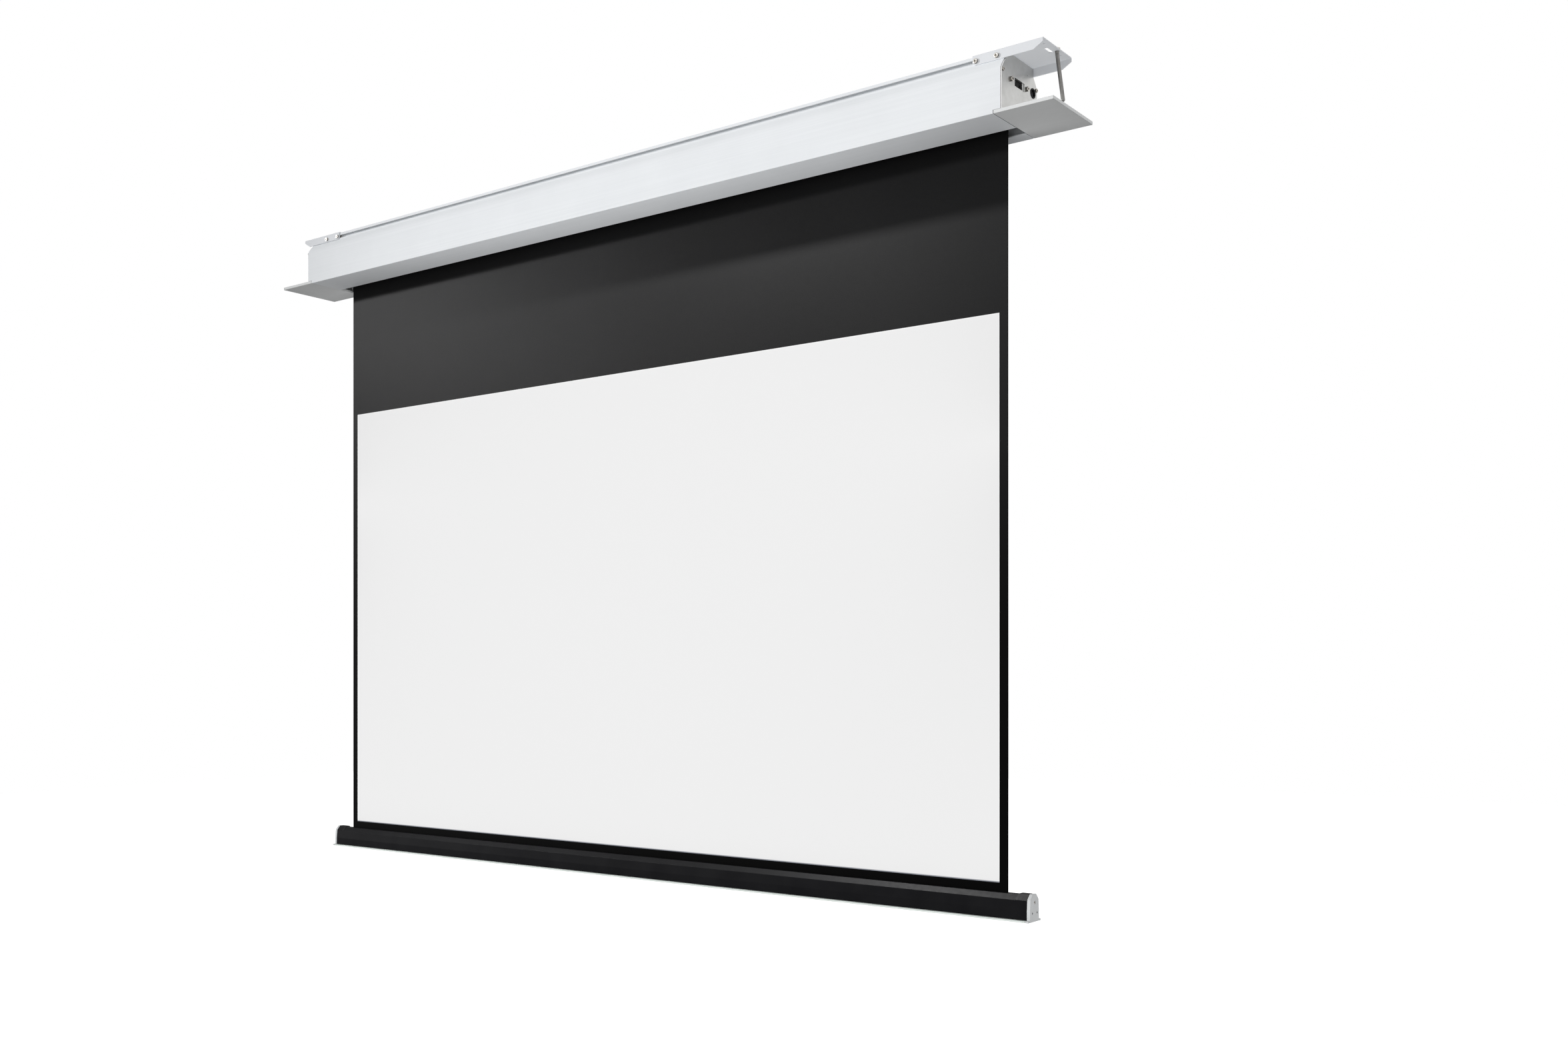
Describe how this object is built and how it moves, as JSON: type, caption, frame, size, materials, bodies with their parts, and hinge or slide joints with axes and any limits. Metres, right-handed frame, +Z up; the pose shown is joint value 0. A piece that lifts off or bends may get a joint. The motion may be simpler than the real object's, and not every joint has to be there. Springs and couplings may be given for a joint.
{
  "type": "ceiling recessed projector screen",
  "caption": "Motorised projector screen for a ceiling recess, lowered: long housing, roller, hanging cloth with a white image area, and a weight bar.",
  "frame": {"origin": "middle of the housing's flat top face", "axes": "+X along the screen towards the motor end, +Y from the viewer's side to the back, +Z up"},
  "size_m": [2.6, 0.186, 1.8531],
  "materials": {
    "white_painted_aluminium": "white powder coat, satin",
    "white_painted_steel": "white powder coat, satin",
    "bare_steel": "bare sheet, lightly mottled",
    "dark_steel": "dark, oiled",
    "nickel": "nickel plated",
    "aluminium": "mill finish",
    "black_painted_aluminium": "black satin",
    "black_cloth": "matt woven",
    "white_image": "matt white coating",
    "pale_plastic": "pale grey satin",
    "black_plastic": "black matt"
  },
  "bodies": {
    "housing": {"cable_grommet": "black_plastic", "end_plate_left": "bare_steel", "end_plate_right": "bare_steel", "housing_extrusion": "white_painted_aluminium", "idler_bracket": "bare_steel", "idler_pin": "nickel", "image_surface": "white_image", "left_fixing_front_screw": "nickel", "left_fixing_rear_screw": "nickel", "left_plate_front_screw": "nickel", "left_plate_rear_screw": "nickel", "motor_body": "dark_steel", "motor_bracket": "bare_steel", "motor_head": "black_plastic", "right_fixing_front_screw": "nickel", "right_fixing_rear_screw": "nickel", "right_plate_front_screw": "nickel", "right_plate_rear_screw": "nickel", "screen_cloth": "black_cloth", "trim_plate_left": "white_painted_aluminium", "trim_plate_right": "white_painted_aluminium"},
    "bracket_right_set": {"bracket_right": "white_painted_steel", "bracket_screw_right_front_1": "nickel", "bracket_screw_right_front_2": "nickel", "bracket_screw_right_rear_1": "nickel", "bracket_screw_right_rear_2": "nickel", "nut_bar_right_front": "nickel", "nut_bar_right_rear": "nickel", "stay_rod": "dark_steel", "stay_rod_nut": "nickel"},
    "bracket_left_set": {"bracket_left": "white_painted_steel", "bracket_screw_left_front_1": "nickel", "bracket_screw_left_front_2": "nickel", "bracket_screw_left_rear_1": "nickel", "bracket_screw_left_rear_2": "nickel", "nut_bar_left_front": "nickel", "nut_bar_left_rear": "nickel"},
    "roller": {"roller_tube": "aluminium", "wound_cloth": "black_cloth", "motor_crown": "black_plastic", "drive_wheel": "black_plastic", "idler_plug": "black_plastic", "idler_bearing": "nickel"},
    "weight_bar": {"bar_extrusion": "black_painted_aluminium", "bar_bottom_strip": "pale_plastic", "bar_cap_left": "pale_plastic", "bar_cap_right": "pale_plastic", "bar_hood_left": "black_painted_aluminium", "bar_hood_right": "black_painted_aluminium", "bar_ballast": "dark_steel", "bar_keder": "black_plastic", "bar_cap_screw_left_front": "dark_steel", "bar_cap_screw_left_rear": "dark_steel", "bar_cap_screw_left_top": "nickel", "bar_cap_screw_right_front": "dark_steel", "bar_cap_screw_right_rear": "dark_steel", "bar_cap_screw_right_top": "nickel"},
    "lower_limit": {"lower_limit_screw": "black_plastic"},
    "upper_limit": {"upper_limit_screw": "black_plastic"}
  },
  "joints": [
    {"name": "screen_drop", "type": "slide", "parent": "housing", "child": "weight_bar", "axis": [0, 0, 1], "range_m": [0, 1.6475], "deforming": ["screen_cloth", "image_surface"]},
    {"name": "roller_spin", "type": "hinge", "parent": "housing", "child": "roller", "pos_m": [0, 0.00415, -0.065], "axis": [1, 0, 0], "range_deg": [0, 2300]},
    {"name": "bracket_right_slide", "type": "slide", "parent": "housing", "child": "bracket_right_set", "axis": [1, 0, 0], "range_m": [-0.06, 0.008]},
    {"name": "bracket_left_slide", "type": "slide", "parent": "housing", "child": "bracket_left_set", "axis": [1, 0, 0], "range_m": [-0.06, 0.3]},
    {"name": "lower_limit_turn", "type": "hinge", "parent": "housing", "child": "lower_limit", "pos_m": [1.17, -0.00885, -0.056], "axis": [1, 0, 0], "continuous": true},
    {"name": "upper_limit_turn", "type": "hinge", "parent": "housing", "child": "upper_limit", "pos_m": [1.17, 0.00915, -0.056], "axis": [1, 0, 0], "continuous": true}
  ],
  "couplings": [
    {"joint": "roller_spin", "follows": "screen_drop", "rad_per_m": 23.36}
  ]
}
